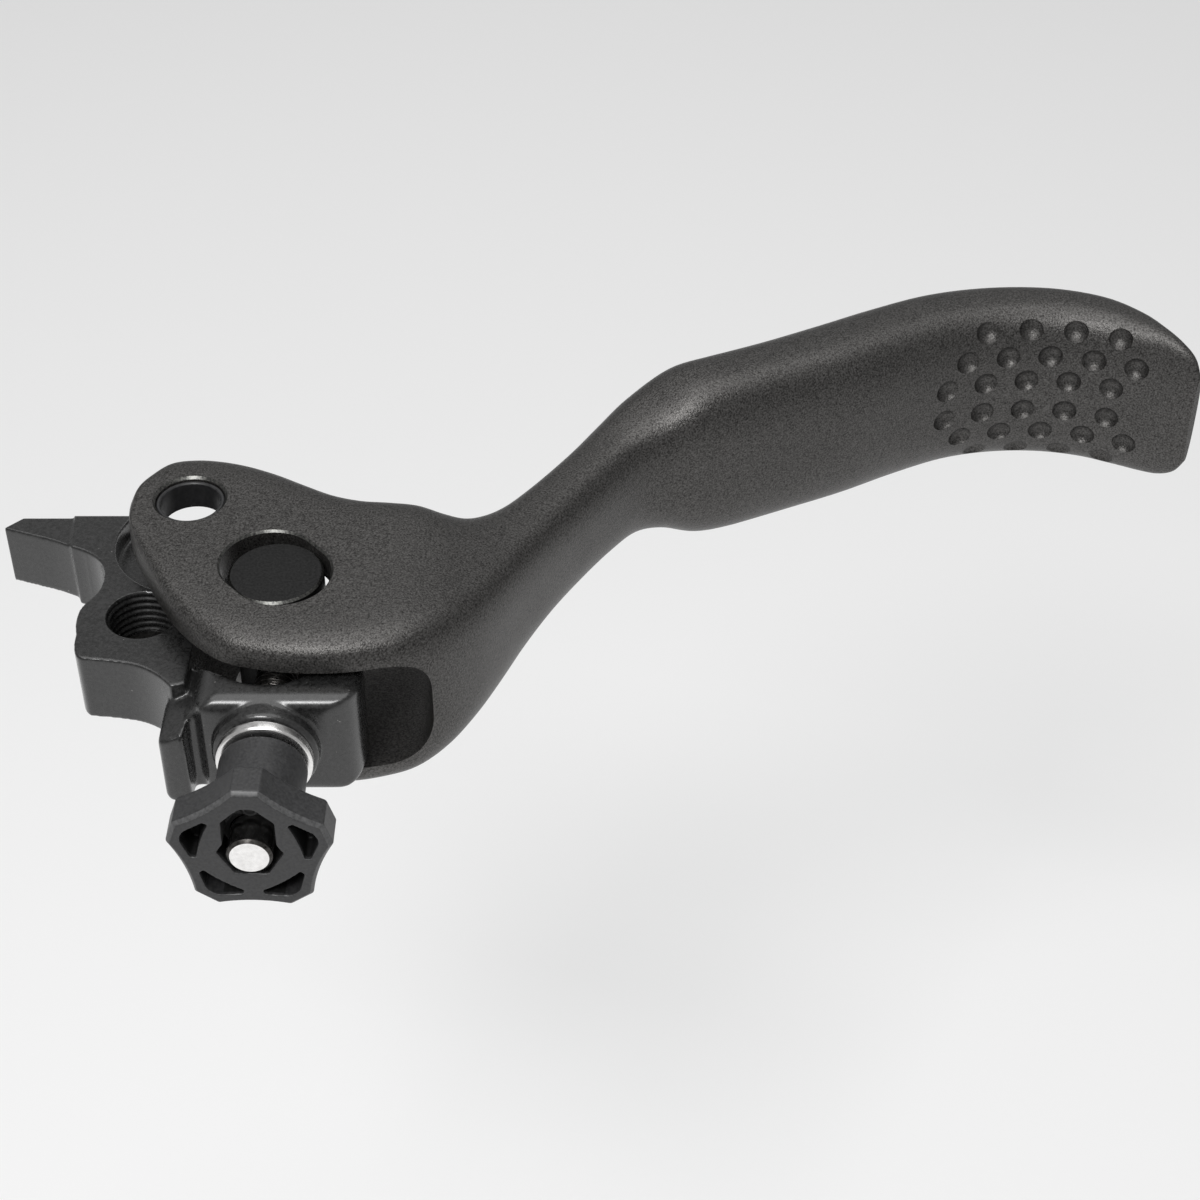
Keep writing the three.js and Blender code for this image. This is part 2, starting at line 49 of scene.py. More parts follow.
FORK_HALF = 9.0
SLOT_HALF, SLOT_END_X, SLOT_CORNER = 6.0, 24.0, 4.5
PIVOT_HOLE_R = 3.35
ROD_X, ROD_R, ROD_TIP_Y, ROD_TAIL_Y = 9.3, 2.0, -38.9, -2.6
NUT_Y, NUT_R, NUT_HALF = -10.4, 4.45, 8.3
NUT_SLOT_R, NUT_SLOT_EXTRA = 4.6, 1.0
PIVOT_RIM, NUT_SLOT_RIM = 0.25, 0.20            # chamfers of the holes in the cheeks
RUNNING_GAP, FIT_GAP = 0.08, 0.05               # round a turning shaft, round a fixed bush
PRESS_GAP = 0.06                                # round the rod, in the knob and the clip
BUSH_WALL = 0.4
EYE_HALF, EYE_R, EAR_POCKET_R = 1.5, 5.4, 7.8
PLATE_HALF, ARM_HALF, ARM_BACK_Y = 3.65, 3.3, 4.2
SCREW_X, SCREW_Y, SCREW_CORE_R, SCREW_HOLE_R = -3.6, -11.0, 3.12, 3.3
BLOCK_TOP, BLOCK_FOOT, BLOCK_FACE_Y = 5.15, 5.85, -24.9
COLLAR_R, COLLAR_FACE_Y = 4.85, -26.4
BUSH_R, BUSH_FLANGE_R, BUSH_FLANGE = 3.4, 4.4, 1.0
CLIP_R, CLIP_Y, CLIP_THICKNESS, CLIP_MOUTH = 3.6, -22.0, 0.6, 2.2
KNOB_FACE_Y, KNOB_HEAD, KNOB_LOBES = -38.4, 3.6, 5
KNOB_TIP_R, KNOB_VALLEY_R, KNOB_NECK_R = 7.2, 6.2, 4.0
KNOB_TIP_HALF_ANGLE, KNOB_TOP_LOBE = 0.165, math.radians(88.5)
KNOB_POCKET_DEPTH, KNOB_SOCKET_R = 2.2, 2.9
THREAD_PITCH = 0.7

# ---- mesh helpers ---------------------------------------------------------------------------


def make(name, verts, faces):
    mesh = bpy.data.meshes.new(name)
    mesh.from_pydata([Vector(v) * MM for v in verts], [], faces)
    bm = bmesh.new()
    bm.from_mesh(mesh)
    bmesh.ops.recalc_face_normals(bm, faces=bm.faces)
    bm.to_mesh(mesh)
    bm.free()
    obj = bpy.data.objects.new(name, mesh)
    bpy.context.scene.collection.objects.link(obj)
    return obj


def curve(points, steps=12):
    """An outline: (x, y) is a straight run to that point, (x, y, cx, cy) curves to it."""
    out = []
    for point in points:
        if len(point) == 2:
            out.append(tuple(point))
            continue
        (ax, ay), (x, y, cx, cy) = out[-1], point
        for k in range(1, steps + 1):
            t = k / steps
            s = 1 - t
            out.append((s * s * ax + 2 * s * t * cx + t * t * x,
                        s * s * ay + 2 * s * t * cy + t * t * y))
    if math.dist(out[0], out[-1]) < 1e-6:
        out.pop()
    return out


def stack(name, rings, closed=False):
    """Rings of equal length joined in order, capped at both ends, or round to the first ring."""
    count = len(rings[0])
    verts = [v for ring in rings for v in ring]
    faces = []
    for r in range(len(rings) if closed else len(rings) - 1):
        low, high = r * count, ((r + 1) % len(rings)) * count
        for k in range(count):
            n = (k + 1) % count
            faces.append((low + k, low + n, high + n, high + k))
    if not closed:
        faces += [tuple(range(count)), tuple((len(rings) - 1) * count + k for k in range(count))]
    return make(name, verts, faces)


def at_z(outline, z):
    return [(x, y, z) for x, y in outline]


def at_y(outline, y):
    return [(x, y, z) for x, z in outline]


def prism_z(name, outline, low, high):
    return stack(name, [at_z(outline, z) for z in (low, high)])


def prism_y(name, outline, front, back):
    return stack(name, [at_y(outline, y) for y in (front, back)])


def circle(radius, sides=96, x=0.0, y=0.0, start=0.0):
    angles = [start + 2 * math.pi * k / sides for k in range(sides)]
    return [(x + radius * math.cos(a), y + radius * math.sin(a)) for a in angles]


def turned_z(name, profile, x, y, closed=False, sides=96):
    """Turned about an axis along Z at (x, y) from (radius, z) points."""
    return stack(name, [at_z(circle(r, sides, x, y), z) for r, z in profile], closed)


def turned_rod(name, profile, closed=False, sides=96):
    """Turned about the adjuster's axis from (radius, y) points."""
    return stack(name, [at_y(circle(r, sides, ROD_X), y) for r, y in profile], closed)


def ridge(phase):
    """A blunt saw-tooth from 0 to 1, for threads."""
    return min(max(1.6 * abs(2 * (phase % 1) - 1) - 0.3, 0.0), 1.0)


def threaded_rings(low, high, core, crest, pitch, place, sides=64, steps=12):
    rings = []
    rows = int((high - low) / pitch * steps)
    for row in range(rows + 1):
        along = low + (high - low) * row / rows
        ring = []
        for k in range(sides):
            turn = k / sides
            radius = core + (crest - core) * ridge(along / pitch - turn)
            angle = 2 * math.pi * turn
            ring.append(place(radius * math.cos(angle), radius * math.sin(angle), along))
        rings.append(ring)
    return rings


def bake(obj):
    """Replaces the object's mesh by the result of its modifiers."""
    graph = bpy.context.evaluated_depsgraph_get()
    mesh = bpy.data.meshes.new_from_object(obj.evaluated_get(graph))
    obj.modifiers.clear()
    old, obj.data = obj.data, mesh
    bpy.data.meshes.remove(old)
    return obj


def boolean(obj, operation, *tools):
    for tool in tools:
        step = obj.modifiers.new("step", "BOOLEAN")
        step.object, step.operation, step.solver = tool, operation, "EXACT"
        bake(obj)
        bpy.data.objects.remove(tool)
    return obj


def cut(obj, *tools):
    return boolean(obj, "DIFFERENCE", *tools)


def join(obj, *tools):
    return boolean(obj, "UNION", *tools)


def soften(obj, voxel, rounds):
    """Remeshes to an even grid and relaxes it, which rounds every edge a little."""
    remesh = obj.modifiers.new("grid", "REMESH")
    remesh.mode, remesh.voxel_size = "VOXEL", voxel * MM
    relax = obj.modifiers.new("relax", "SMOOTH")
    relax.factor, relax.iterations = 0.5, rounds
    return bake(obj)


def shade(obj, angle=32):
    obj.data.shade_smooth()
    obj.data.set_sharp_from_angle(angle=math.radians(angle))
    return obj


# ---- finishes, painted shade and painted highlights -----------------------------------------


def finish(name, dark, light, rough, metallic, grain, bump, depth, coat=0.0, wear=None):
    """A procedural finish: fine grain in colour, roughness and relief, over broad unevenness.

    grain is the noise scale per metre, depth the height of the relief in millimetres, and wear
    the colour of the rubbed spots.
    """
    mat = bpy.data.materials.new(name)
    mat.use_nodes = True
    nodes, links = mat.node_tree.nodes, mat.node_tree.links
    shader = nodes["Principled BSDF"]
    shader.inputs["Metallic"].default_value = metallic
    shader.inputs["Coat Weight"].default_value = coat
    shader.inputs["Coat Roughness"].default_value = 0.25
    where = nodes.new("ShaderNodeTexCoord")

    def noise(scale, detail, roughness=0.6):
        tex = nodes.new("ShaderNodeTexNoise")
        tex.inputs["Scale"].default_value = scale
        tex.inputs["Detail"].default_value = detail
        tex.inputs["Roughness"].default_value = roughness
        links.new(where.outputs["Object"], tex.inputs["Vector"])
        return tex.outputs["Fac"]

    def spread(value, low, high, out_low, out_high):
        node = nodes.new("ShaderNodeMapRange")
        numbers = {"From Min": low, "From Max": high, "To Min": out_low, "To Max": out_high}
        for socket, number in numbers.items():
            node.inputs[socket].default_value = number
        links.new(value, node.inputs["Value"])
        return node.outputs["Result"]

    fine, broad = noise(grain, 3.0), noise(90.0, 2.0)
    mixed = nodes.new("ShaderNodeMix")
    mixed.data_type = "RGBA"
    mixed.inputs["A"].default_value = (*dark, 1)
    mixed.inputs["B"].default_value = (*light, 1)
    links.new(spread(fine, 0.32, 0.68, 0.0, 1.0), mixed.inputs["Factor"])
    colour = mixed.outputs["Result"]
    if wear:
        # Pale nicks and rubbed spots, sparse and small.
        nick = nodes.new("ShaderNodeMix")
        nick.data_type = "RGBA"
        nick.inputs["B"].default_value = (*wear, 1)
        links.new(colour, nick.inputs["A"])
        links.new(spread(noise(900.0, 4.0, 0.7), 0.70, 0.76, 0.0, 1.0), nick.inputs["Factor"])
        colour = nick.outputs["Result"]
    links.new(colour, shader.inputs["Base Color"])
    total = nodes.new("ShaderNodeMath")
    total.operation = "ADD"
    links.new(spread(fine, 0.3, 0.7, rough[0], rough[1]), total.inputs[0])
    links.new(spread(broad, 0.3, 0.7, -0.04, 0.04), total.inputs[1])
    links.new(total.outputs["Value"], shader.inputs["Roughness"])
    relief = nodes.new("ShaderNodeBump")
    relief.inputs["Strength"].default_value = bump
    relief.inputs["Distance"].default_value = depth * MM
    links.new(fine, relief.inputs["Height"])
    links.new(relief.outputs["Normal"], shader.inputs["Normal"])
    return mat


BLASTED = finish(
    "blasted_black", (0.022, 0.021, 0.020), (0.132, 0.128, 0.124), rough=(0.30, 0.44), metallic=0.80,
    grain=5600, bump=0.75, depth=0.07)
SATIN = finish(
    "satin_black", (0.007, 0.007, 0.007), (0.026, 0.026, 0.026), rough=(0.22, 0.34), metallic=0.20,
    grain=3200, bump=0.20, depth=0.03, coat=0.6, wear=(0.40, 0.39, 0.38))
MOULDED = finish(
    "moulded_plastic", (0.016, 0.016, 0.017), (0.038, 0.038, 0.039), rough=(0.36, 0.50), metallic=0.0,
    grain=3600, bump=0.35, depth=0.04)
# Painted shade: a near-black copy of the knob's plastic for the walls and floors of its pockets.
MOULDED_POCKET_SHADE = finish(
    "moulded_pocket_painted_shade", (0.003, 0.003, 0.003), (0.007, 0.007, 0.007), rough=(0.50, 0.65), metallic=0.0,
    grain=3600, bump=0.35, depth=0.04)
BARREL = finish(
    "barrel_black", (0.005, 0.005, 0.005), (0.020, 0.020, 0.020), rough=(0.38, 0.50), metallic=0.60,
    grain=4200, bump=0.35, depth=0.03)
# Bare machined metal on the chamfers, made lighter also as a painted highlight along those edges.
BARE_EDGE_HIGHLIGHT = finish(
    "bare_edge_and_painted_highlight", (0.04, 0.04, 0.04), (0.16, 0.16, 0.15), rough=(0.30, 0.40), metallic=1.0,
    grain=4200, bump=0.20, depth=0.02)
# Painted highlight: a lighter copy of the knob's plastic for the rounded edges of its front face and
# pockets.
MOULDED_EDGE_HIGHLIGHT = finish(
    "moulded_edge_painted_highlight", (0.045, 0.045, 0.046), (0.090, 0.090, 0.091), rough=(0.35, 0.45), metallic=0.0,
    grain=3600, bump=0.20, depth=0.03)
DARK_THREAD = finish(
    "dark_thread", (0.030, 0.028, 0.026), (0.110, 0.105, 0.100), rough=(0.28, 0.38), metallic=0.9,
    grain=3000, bump=0.10, depth=0.02)
BRIGHT = finish(
    "bright_steel", (0.78, 0.77, 0.76), (0.95, 0.94, 0.93), rough=(0.16, 0.26), metallic=1.0,
    grain=1800, bump=0.05, depth=0.01)
BLACK_STEEL = finish(
    "black_steel", (0.012, 0.012, 0.012), (0.045, 0.043, 0.040), rough=(0.30, 0.42), metallic=0.80,
    grain=3000, bump=0.15, depth=0.02)
LINER = finish(
    "bush_polymer", (0.012, 0.012, 0.013), (0.024, 0.024, 0.025), rough=(0.40, 0.52), metallic=0.0,
    grain=3000, bump=0.15, depth=0.02)
RUBBER = finish(
    "rubber", (0.010, 0.010, 0.010), (0.020, 0.020, 0.020), rough=(0.70, 0.85), metallic=0.0,
    grain=2500, bump=0.20, depth=0.03)


def second_material(obj, material, wanted):
    """Gives the faces picked by wanted(centre in mm, normal) another material: a finish, a painted shade
    or a painted highlight.
    """
    obj.data.materials.append(material)
    for face in obj.data.polygons:
        if wanted(face.center / MM, face.normal):
            face.material_index = len(obj.data.materials) - 1


def fit(obj, body, slot, material, *nodes):
    obj.data.materials.clear()
    obj.data.materials.append(material)
    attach(obj, body)
    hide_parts(*nodes)
    return obj


# ---- the blade ------------------------------------------------------------------------------

# From the rounded end of the fork to the tip: front x, y; back x, y; half-height; squareness.
STATIONS = [
    (-5.7, -1.6, -5.7, 0.4, 8.5, 6),
    (-5.4, -3.6, -5.2, 2.6, 9.0, 9),
    (-4.6, -6.0, -4.2, 4.9, 9.0, 9),
    (-3.3, -8.8, -2.6, 7.0, 9.0, 9),
    (-1.6, -12.2, -0.3, 7.7, 9.0, 9),
    (0.3, -15.4, 2.2, 7.6, 9.0, 9),
    (2.6, -18.2, 4.9, 6.9, 9.0, 9),
    (5.4, -20.4, 7.8, 5.6, 9.0, 9),
    (8.6, -21.4, 10.8, 3.8, 9.0, 9),
    (12.0, -21.9, 13.6, 2.2, 9.0, 9),
    (15.6, -21.9, 16.4, 1.3, 9.0, 9),
    (19.0, -21.4, 19.2, 1.2, 9.0, 8),
    (22.2, -20.4, 21.8, 1.2, 8.8, 7),
    (25.2, -18.2, 24.2, 1.0, 8.2, 5.5),
    (27.8, -14.9, 26.2, 1.4, 7.4, 4.5),
    (30.0, -11.0, 28.0, 2.7, 6.8, 3.8),
    (32.3, -6.2, 29.8, 4.6, 6.3, 3.4),
    (35.0, -1.0, 31.7, 7.2, 6.0, 3.2),
    (38.0, 3.9, 33.7, 10.2, 5.9, 3),
    (41.1, 8.6, 36.2, 14.0, 5.9, 3),
    (43.9, 12.1, 38.6, 17.9, 6.2, 3),
    (46.9, 13.9, 41.5, 21.7, 7.3, 3),
    (50.5, 15.1, 45.7, 24.7, 9.2, 3),
    (54.5, 16.7, 50.0, 26.5, 9.6, 3),
    (60.4, 19.5, 55.6, 29.0, 9.6, 3),
    (66.5, 22.4, 61.5, 32.1, 9.6, 3),
    (72.4, 25.8, 67.6, 35.3, 9.6, 3),
    (77.8, 28.5, 74.2, 38.2, 9.6, 3),
    (82.6, 29.8, 81.4, 39.6, 9.6, 3),
    (87.6, 30.1, 88.4, 39.4, 9.6, 3),
    (91.8, 29.4, 94.4, 37.5, 9.5, 3),
    (95.2, 28.2, 98.2, 34.2, 9.3, 3),
    (97.9, 27.1, 100.2, 31.0, 9.0, 2.8),
    (99.9, 26.0, 101.6, 28.7, 8.4, 2.6),
    (101.5, 25.4, 102.6, 27.0, 7.3, 2.4),
    (102.4, 25.1, 103.1, 25.7, 5.4, 2.2),
]
STEPS_PER_STATION = 6
BLADE_HALF = 9.6
SECTION_POINTS = 112
GRIP_STATION = 24                # the finger grip's pattern is measured from here
DIMPLE_R, DIMPLE_DEPTH = 1.30, 0.72
DIMPLE_PITCH, DIMPLE_START = 4.55, 18.3
DIMPLE_ROWS = [(1.9, 5), (4.85, 5), (7.7, 4)]


def station(at):
    """Catmull-Rom values between stations."""
    last = len(STATIONS) - 1
    i = min(int(at), last - 1)
    t = at - i
    rows = [STATIONS[max(i - 1, 0)], STATIONS[i], STATIONS[i + 1], STATIONS[min(i + 2, last)]]
    return [
        (2 * b + (c - a) * t + (2 * a - 5 * b + 4 * c - d) * t * t + (3 * (b - c) + d - a) * t ** 3) / 2
        for a, b, c, d in zip(*rows)
    ]


def blade_ring(at):
    fx, fy, bx, by, half, square = station(at)
    half = min(half, BLADE_HALF)
    mx, my = (fx + bx) / 2, (fy + by) / 2
    ring = []
    for k in range(SECTION_POINTS):
        angle = 2 * math.pi * (k + 0.5) / SECTION_POINTS
        c, s = math.cos(angle), math.sin(angle)
        u = math.copysign(abs(c) ** (2 / square), c)
        w = math.copysign(abs(s) ** (2 / square), s)
        ring.append((mx + (fx - mx) * u, my + (fy - my) * u, half * w))
    return ring


def grip_face(at, z):
    """The point of the blade's front face at height z."""
    fx, fy, bx, by, half, square = station(at)
    mx, my = (fx + bx) / 2, (fy + by) / 2
    u = (1 - (abs(z) / half) ** square) ** (1 / square)
    return Vector((mx + (fx - mx) * u, my + (fy - my) * u, z))


def stadium(radius, extra, x, y, angle, sides=96):
    out = []
    for k in range(sides):
        a = 2 * math.pi * (k + 0.5) / sides
        push = extra if math.cos(a) > 0 else -extra
        lx, ly = radius * math.cos(a) + push, radius * math.sin(a)
        out.append((x + lx * math.cos(angle) - ly * math.sin(angle),
                    y + lx * math.sin(angle) + ly * math.cos(angle)))
    return out


def flared_tool(name, shape, rim):
    """A cutter through both cheeks that leaves a small chamfer at each outer face."""
    heights = [(-FORK_HALF - 1, rim + 1), (-FORK_HALF, rim), (-FORK_HALF + rim, 0), (FORK_HALF - rim, 0),
               (FORK_HALF, rim), (FORK_HALF + 1, rim + 1)]
    return stack(name, [at_z(shape(grow), z) for z, grow in heights])


def dimple_tool():
    """One mesh of all the ball-shaped cutters over the finger grip."""
    pace = 0.02
    ats = [GRIP_STATION + k * pace for k in range(int((len(STATIONS) - 1 - GRIP_STATION) / pace))]
    run, reached = [0.0], 0.0
    for a, b in zip(ats, ats[1:]):
        reached += (grip_face(b, 0) - grip_face(a, 0)).length
        run.append(reached)
    ball = (DIMPLE_R ** 2 + DIMPLE_DEPTH ** 2) / (2 * DIMPLE_DEPTH)
    bm = bmesh.new()
    for row, (height, count) in enumerate(DIMPLE_ROWS):
        for side in (1, -1):
            for k in range(count):
                along = DIMPLE_START + row * DIMPLE_PITCH / 2 + k * DIMPLE_PITCH
                at = next(a for a, s in zip(ats, run) if s >= along)
                z = side * height
                point = grip_face(at, z)
                out = (grip_face(at + 0.05, z) - grip_face(at - 0.05, z)).cross(
                    grip_face(at, z + 0.1) - grip_face(at, z - 0.1)).normalized()
                centre = point + out * (ball - DIMPLE_DEPTH)
                made = bmesh.ops.create_uvsphere(bm, u_segments=32, v_segments=20, radius=ball * MM)
                bmesh.ops.translate(bm, verts=made["verts"], vec=centre * MM)
    mesh = bpy.data.meshes.new("dimples")
    bm.to_mesh(mesh)
    bm.free()
    obj = bpy.data.objects.new("dimples", mesh)
    bpy.context.scene.collection.objects.link(obj)
    return obj


def blade():
    steps = (len(STATIONS) - 1) * STEPS_PER_STATION
    body = stack("blade_body", [blade_ring(s / STEPS_PER_STATION) for s in range(steps + 1)])
    corner = SLOT_END_X - SLOT_CORNER
    edge = SLOT_HALF - SLOT_CORNER
    slot = prism_y("slot", curve([
        (-FAR, -SLOT_HALF), (corner, -SLOT_HALF), (SLOT_END_X, -edge, SLOT_END_X, -SLOT_HALF),
        (SLOT_END_X, edge), (corner, SLOT_HALF, SLOT_END_X, SLOT_HALF), (-FAR, SLOT_HALF),
    ]), -FAR, FAR)
    line = math.atan2(NUT_Y, ROD_X)
    nut_slot = flared_tool(
        "nut_slot", lambda g: stadium(NUT_SLOT_R + g, NUT_SLOT_EXTRA, ROD_X, NUT_Y, line), NUT_SLOT_RIM)
    pivot = flared_tool("pivot_hole", lambda g: circle(PIVOT_HOLE_R + g), PIVOT_RIM)
    cut(body, slot, nut_slot, pivot, dimple_tool())
    fit(shade(body, 28), "blade", "blade", BLASTED, "lever_blade")

    def on_hole_edge(c, n):
        by_pivot = math.hypot(c.x, c.y) < PIVOT_HOLE_R + 0.65
        by_nut = math.hypot(c.x - ROD_X, c.y - NUT_Y) < NUT_SLOT_R + NUT_SLOT_EXTRA + 0.6
        return (by_pivot or by_nut) and abs(c.z) > FORK_HALF - 0.3 and 0.5 < abs(n.z) < 0.85

    # The chamfers round the holes: bare metal, lighter also as a painted highlight.
    second_material(body, BARE_EDGE_HIGHLIGHT, on_hole_edge)


def pivot_liner(side, node):
    outer, inner = PIVOT_HOLE_R - FIT_GAP, PIVOT_HOLE_R - FIT_GAP - BUSH_WALL
    top, face, rim, edge, lead = FORK_HALF - 0.4, SLOT_HALF - 0.03, 5.0, 0.1, 0.12
    low = face - 0.3
    profile = [(inner, low + edge), (inner + edge, low), (rim - edge, low), (rim, low + edge), (rim, face),
               (outer, face), (outer, top - lead), (outer - lead, top), (inner + edge, top),
               (inner, top - edge)]
    bush = turned_z(node + "_turned", [(r, side * z) for r, z in profile], 0, 0, closed=True)
    return fit(shade(bush), "blade", "bush", LINER, node)


# ---- the link arm ---------------------------------------------------------------------------


def in_screw_hole(a, b, height):
    return (SCREW_X + a, SCREW_Y + b, height)


def link_arm():
    tall = FAR / 2
    plate = prism_z("link_body", curve([
        (-12.6, ARM_BACK_Y), (-12.2, -0.7), (-8.1, -5.4, -8.2, -2.2), (-9.1, -9.0, -8.0, -7.6),
        (-9.4, -13.6, -10.2, -10.6), (-8.2, -17.2, -9.4, -17.0), (-4.2, -17.8, -6.0, -17.4),
        (0.4, -21.0, -1.6, -18.4), (1.7, -20.6), (1.7, -3.0), (-3.2, ARM_BACK_Y),
    ]), -PLATE_HALF, PLATE_HALF)
    hook = prism_z("hook", curve([
        (-19.4, 2.6), (-15.0, 1.0), (-10.6, -1.5, -12.4, 0.0), (-9.6, ARM_BACK_Y), (-17.8, ARM_BACK_Y),
    ]), -ARM_HALF, ARM_HALF)
    join(plate, hook)
    cut(plate,
        turned_z("pocket_top", [(EAR_POCKET_R, EYE_HALF), (EAR_POCKET_R, tall)], 0, 0),
        turned_z("pocket_low", [(EAR_POCKET_R, -tall), (EAR_POCKET_R, -EYE_HALF)], 0, 0),
        prism_z("behind", [(-5.9, 0.6), (4, 0.6), (4, 8), (-5.9, 8)], -tall, tall),
        prism_z("window", [(-9.0, 0.8), (-7.6, 0.8), (-7.6, 8), (-9.0, 8)], -EYE_HALF, EYE_HALF))
    block = prism_z("block", curve([
        (1.7, -16.8), (-0.3, -21.0), (-0.3, -25.6), (0.7, -26.4, -0.3, -26.4), (2.1, -26.2),
        (2.3, -24.2, 2.2, -24.6), (3.3, -24.2), (3.7, BLOCK_FACE_Y, 3.4, -24.8), (14.2, BLOCK_FACE_Y),
        (17.9, -21.2, 17.9, BLOCK_FACE_Y), (17.9, -19.2), (13.8, -20.0), (9.3, -22.3, 11.9, -22.3),
        (4.4, -20.3, 6.6, -22.3),
    ]), -tall, tall)
    front = prism_y("block_front", curve([
        (-0.5, 1.1), (0.6, 1.9, -0.4, 1.6), (2.0, 2.4), (5.2, BLOCK_TOP, 3.8, BLOCK_TOP),
        (16.4, BLOCK_TOP), (18.1, 3.4, 18.1, BLOCK_TOP), (18.1, -3.0),
        (15.2, -BLOCK_FOOT, 18.1, -BLOCK_FOOT), (1.2, -BLOCK_FOOT), (-0.5, -4.4, -0.5, -BLOCK_FOOT),
    ]), -FAR, 0)
    boolean(block, "INTERSECT", front)
    # The block's top and bottom front edges are rounded over.
    for side, edge_z, lip in ((1, BLOCK_TOP, 1.3), (-1, BLOCK_FOOT, 0.8)):
        left, right, inner_z, middle_y = 3.4, 19.0, side * (edge_z - lip), BLOCK_FACE_Y + lip
        corner = [(left, inner_z), (right, inner_z), (right, side * tall), (left, side * tall)]
        wedge = prism_y("lip", corner, -FAR, middle_y)
        section = circle(lip, 48, middle_y, inner_z)
        rounded = stack("lip_round", [[(x, y, z) for y, z in section] for x in (left - 1, right + 1)])
        cut(block, cut(wedge, rounded))
    soften(block, 0.135, 22)
    collar = [(COLLAR_R, BLOCK_FACE_Y + 1), (COLLAR_R, COLLAR_FACE_Y + 0.3),
              (COLLAR_R - 0.3, COLLAR_FACE_Y)]
    join(plate, turned_z("eye", [(EYE_R, -EYE_HALF), (EYE_R, EYE_HALF)], 0, 0), block,
         turned_rod("collar", collar))
    cut(plate, turned_rod("clip_seat", [(CLIP_R + 0.3, CLIP_Y - 0.3), (CLIP_R + 0.3, -12)]))
    soften(plate, 0.15, 7)
    thread = stack("screw_thread", threaded_rings(-6, 6, SCREW_CORE_R, SCREW_HOLE_R, 0.75, in_screw_hole))
    mouth = SCREW_HOLE_R + 0.15
    sinks = [turned_z("sink", [(mouth - 0.4, side * (PLATE_HALF - 0.5)), (mouth, side * PLATE_HALF),
                               (mouth + 1, side * (PLATE_HALF + 1))], SCREW_X, SCREW_Y)
             for side in (1, -1)]
    bore, seat = ROD_R + RUNNING_GAP, BUSH_R + FIT_GAP
    cut(plate, thread, *sinks,
        turned_rod("rod_hole", [(bore, -FAR), (bore, 0)]),
        turned_rod("bush_bore", [(seat, -FAR), (seat, BLOCK_FACE_Y + 1.6)]),
        turned_z("eye_bore", [(PIVOT_HOLE_R, -tall), (PIVOT_HOLE_R, tall)], 0, 0))
    return fit(shade(plate, 80), "link", "link", SATIN, "link_arm")


def eye_liner():
    outer, half, edge = PIVOT_HOLE_R - FIT_GAP, EYE_HALF - FIT_GAP, 0.1
    inner = outer - BUSH_WALL
    profile = [(inner, -half + edge), (inner + edge, -half), (outer, -half), (outer, half),
               (inner + edge, half), (inner, half - edge)]
    bush = turned_z("eye_bush_turned", profile, 0, 0, closed=True)
    return fit(shade(bush), "link", "bush", LINER, "eye_bush")


def set_screw():
    bottom, top, core, crest, pitch = -PLATE_HALF + 0.2, -0.6, 2.7, 2.98, 1.0
    rings = threaded_rings(bottom, top - 0.25, core, crest, pitch, in_screw_hole)
    rings.append(at_z(circle(core - 0.1, 64, SCREW_X, SCREW_Y), top))
    screw = stack("set_screw_body", rings)
    across_flats = 3.0
    socket_r = across_flats / math.sqrt(3)
    hexagon = stack("hexagon", [at_z(circle(socket_r + grow, 6, SCREW_X, SCREW_Y, math.pi / 6), z)
                                for z, grow in ((top - 1.6, 0), (top - 0.15, 0), (top + 0.35, 0.5))])
    return fit(shade(cut(screw, hexagon)), "link", "screw", BLACK_STEEL, "set_screw")


# ---- the reach adjuster ---------------------------------------------------------------------


def rod_bush():
    shoulder = COLLAR_FACE_Y - FIT_GAP
    front, back = shoulder - BUSH_FLANGE, BLOCK_FACE_Y + 1.5
    bore, groove, r, edge = ROD_R + RUNNING_GAP, ROD_R + 1.0, BUSH_FLANGE_R, 0.28
    turns = [k * math.pi / 12 for k in range(7)]
    rounding = [(r - edge + edge * math.sin(a), front + edge - edge * math.cos(a)) for a in turns]
    profile = [(bore, front + 0.1), (bore + 0.1, front), *rounding, (r, shoulder), (BUSH_R, shoulder),
               (BUSH_R, back), (bore, back), (bore, shoulder + 1.4), (groove, shoulder + 1.4),
               (groove, shoulder + 0.4), (bore, shoulder + 0.4)]
    bush = turned_rod("rod_bush_turned", profile, closed=True)
    return fit(shade(bush), "link", "bright", BRIGHT, "rod_bush")


def friction_ring():
    middle, section = COLLAR_FACE_Y + 0.85, 0.39
    around = ROD_R + 0.1 + 0.4
    ring = turned_rod("friction_ring_turned", circle(section, 24, around, middle), closed=True)
    return fit(shade(ring, 60), "link", "ring", RUBBER, "friction_ring")


def retaining_clip():
    bore, back, edge = ROD_R + PRESS_GAP, CLIP_Y + CLIP_THICKNESS, 0.08
    profile = [(bore, CLIP_Y), (CLIP_R - edge, CLIP_Y), (CLIP_R, CLIP_Y + edge), (CLIP_R, back - edge),
               (CLIP_R - edge, back), (bore, back)]
    clip = turned_rod("clip_turned", profile, closed=True)
    left, right = ROD_X - CLIP_MOUTH / 2, ROD_X + CLIP_MOUTH / 2
    mouth = prism_y("mouth", [(left, 0), (right, 0), (right, -8), (left, -8)], -FAR, 0)
    return fit(shade(cut(clip, mouth)), "knob", "screw", BLACK_STEEL, "retaining_clip")


